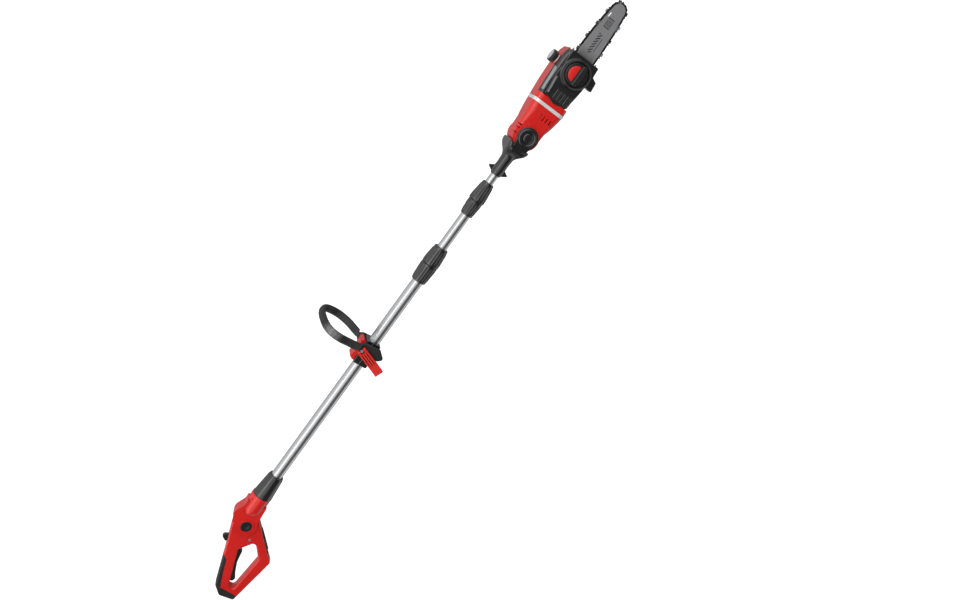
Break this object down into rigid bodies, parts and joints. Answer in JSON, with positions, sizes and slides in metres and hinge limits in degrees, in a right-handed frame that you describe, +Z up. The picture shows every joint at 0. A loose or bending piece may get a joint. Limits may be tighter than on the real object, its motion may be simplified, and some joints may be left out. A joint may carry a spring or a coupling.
{
  "type": "telescoping pole saw",
  "caption": "Telescoping pole saw: D-handle, sliding loop handle, twist-lock tubes and a tilting saw head with a chain on a guide bar.",
  "frame": {"origin": "on the ground plane under the middle of the collapsed saw", "axes": "+X along the pole towards the bar tip, +Y away from the sprocket cover, +Z up, loop handle upwards"},
  "size_m": [1.8568, 0.1888, 0.2851],
  "materials": {
    "red_plastic": "glossy moulded red plastic",
    "black_plastic": "fine-grained black plastic",
    "soft_grip": "matte soft-touch rubber",
    "grey_plastic": "satin grey plastic",
    "silver_trim": "silver-painted plastic",
    "tube_aluminium": "brushed anodised aluminium",
    "bar_steel": "satin painted steel",
    "chain_steel": "oiled dark steel",
    "cutter_steel": "plated steel",
    "machine_steel": "zinc-plated steel",
    "contact_brass": "brass",
    "tank_plastic": "translucent white plastic"
  },
  "bodies": {
    "pole_base": {"lower_tube": "tube_aluminium", "socket_shell_left": "red_plastic", "socket_shell_right": "red_plastic", "socket_screws": "machine_steel", "tube_collar": "black_plastic", "handle_axle": "machine_steel", "lower_lock_body": "black_plastic", "lower_lock_collet": "black_plastic"},
    "rear_handle": {"handle_shell_left": "red_plastic", "handle_shell_right": "red_plastic", "grip_overmold": "soft_grip", "butt_cap": "soft_grip", "battery_dock": "black_plastic", "battery_terminals": "contact_brass", "handle_switch": "black_plastic", "handle_screws": "machine_steel"},
    "trigger": {"trigger": "black_plastic"},
    "lock_off_button": {"lock_off_button": "black_plastic"},
    "handle_release_button": {"handle_release_button": "black_plastic"},
    "front_carriage": {"clamp_upper": "black_plastic", "clamp_lower": "black_plastic", "clamp_saddle": "red_plastic"},
    "front_handle": {"loop_handle": "black_plastic", "loop_bolt": "machine_steel"},
    "clamp_lever": {"clamp_lever": "red_plastic"},
    "lower_lock_nut": {"lower_lock_nut": "black_plastic"},
    "middle_pole": {"middle_tube": "tube_aluminium", "middle_tube_bush": "black_plastic", "upper_lock_body": "black_plastic", "upper_lock_collet": "black_plastic"},
    "upper_lock_nut": {"upper_lock_nut": "black_plastic"},
    "upper_pole": {"upper_tube": "tube_aluminium", "upper_tube_bush": "black_plastic", "fork": "black_plastic", "head_axle": "machine_steel"},
    "head_tilt_button": {"head_tilt_button": "black_plastic"},
    "saw_head": {"motor_housing_left": "red_plastic", "motor_housing_right": "red_plastic", "trim_band": "silver_trim", "front_housing": "red_plastic", "gearcase": "black_plastic", "side_trim": "grey_plastic", "housing_screws": "machine_steel", "motor_can": "machine_steel", "oil_tank": "tank_plastic", "bar_stud": "machine_steel", "bumper_spikes": "chain_steel", "sprocket_cover": "black_plastic", "chain_drive_links": "chain_steel", "chain_tie_straps": "chain_steel", "chain_cutters": "cutter_steel", "chain_rivets": "chain_steel"},
    "oil_cap": {"oil_cap": "black_plastic"},
    "cover_knob": {"cover_knob": "black_plastic"},
    "tension_ring": {"tension_ring": "black_plastic"},
    "guide_bar": {"guide_bar": "bar_steel"},
    "sprocket": {"drive_sprocket": "machine_steel", "sprocket_shaft": "machine_steel", "crown_gear": "machine_steel"},
    "rotor": {"motor_rotor": "machine_steel"}
  },
  "joints": [
    {"name": "handle_tilt", "type": "hinge", "parent": "pole_base", "child": "rear_handle", "pos_m": [-0.72065, 0, 0.11457], "axis": [0, 1, 0], "range_deg": [-30, 20]},
    {"name": "trigger_pull", "type": "hinge", "parent": "rear_handle", "child": "trigger", "pos_m": [-0.79865, 0, 0.08757], "axis": [0, 1, 0], "range_deg": [0, 6], "stiffness_Nm_per_rad": 0.6, "springref_deg": -20.05},
    {"name": "lock_off_press", "type": "slide", "parent": "rear_handle", "child": "lock_off_button", "axis": [0.3746, 0, -0.9272], "range_m": [0, 0.004], "stiffness_N_per_m": 400, "springref_m": -0.003},
    {"name": "handle_release_press", "type": "slide", "parent": "pole_base", "child": "handle_release_button", "axis": [0, 1, 0], "range_m": [0, 0.0025], "stiffness_N_per_m": 500, "springref_m": -0.003},
    {"name": "carriage_slide", "type": "slide", "parent": "pole_base", "child": "front_carriage", "axis": [1, 0, 0], "range_m": [-0.3, 0.17]},
    {"name": "loop_tilt", "type": "hinge", "parent": "front_carriage", "child": "front_handle", "pos_m": [-0.15665, 0, 0.14857], "axis": [0, 1, 0], "range_deg": [-35, 35]},
    {"name": "lever_open", "type": "hinge", "parent": "front_handle", "child": "clamp_lever", "pos_m": [-0.15665, -0.0471, 0.14857], "axis": [-0.9294, 0, 0.369], "range_deg": [0, 100]},
    {"name": "lower_lock_twist", "type": "hinge", "parent": "pole_base", "child": "lower_lock_nut", "pos_m": [0.13835, 0, 0.12357], "axis": [1, 0, 0], "range_deg": [0, 90]},
    {"name": "middle_pole_slide", "type": "slide", "parent": "pole_base", "child": "middle_pole", "axis": [1, 0, 0], "range_m": [0, 0.45]},
    {"name": "upper_lock_twist", "type": "hinge", "parent": "middle_pole", "child": "upper_lock_nut", "pos_m": [0.34135, 0, 0.12357], "axis": [1, 0, 0], "range_deg": [0, 90]},
    {"name": "upper_pole_slide", "type": "slide", "parent": "middle_pole", "child": "upper_pole", "axis": [1, 0, 0], "range_m": [0, 0.45]},
    {"name": "head_tilt_press", "type": "slide", "parent": "upper_pole", "child": "head_tilt_button", "axis": [0, 1, 0], "range_m": [0, 0.0025], "stiffness_N_per_m": 500, "springref_m": -0.003},
    {"name": "head_tilt", "type": "hinge", "parent": "upper_pole", "child": "saw_head", "pos_m": [0.51735, 0, 0.12157], "axis": [0, 1, 0], "range_deg": [-45, 45]},
    {"name": "oil_cap_turn", "type": "hinge", "parent": "saw_head", "child": "oil_cap", "pos_m": [0.71935, -0.01, 0.18757], "axis": [0, 0, 1], "range_deg": [0, 360]},
    {"name": "cover_knob_turn", "type": "hinge", "parent": "saw_head", "child": "cover_knob", "pos_m": [0.71335, -0.055, 0.12057], "axis": [0, -1, 0], "range_deg": [0, 720]},
    {"name": "guide_bar_slide", "type": "slide", "parent": "saw_head", "child": "guide_bar", "axis": [-1, 0, 0], "range_m": [0, 0.003]},
    {"name": "tension_ring_turn", "type": "hinge", "parent": "saw_head", "child": "tension_ring", "pos_m": [0.71335, -0.055, 0.12057], "axis": [0, -1, 0], "range_deg": [0, 40]},
    {"name": "sprocket_spin", "type": "hinge", "parent": "saw_head", "child": "sprocket", "pos_m": [0.66835, 0, 0.12157], "axis": [0, 1, 0], "continuous": true},
    {"name": "rotor_spin", "type": "hinge", "parent": "saw_head", "child": "rotor", "pos_m": [0.58335, 0, 0.12157], "axis": [1, 0, 0], "continuous": true}
  ],
  "couplings": [
    {"joint": "tension_ring_turn", "follows": "guide_bar_slide", "rad_per_m": 232.6},
    {"joint": "rotor_spin", "follows": "sprocket_spin", "ratio": -3}
  ]
}
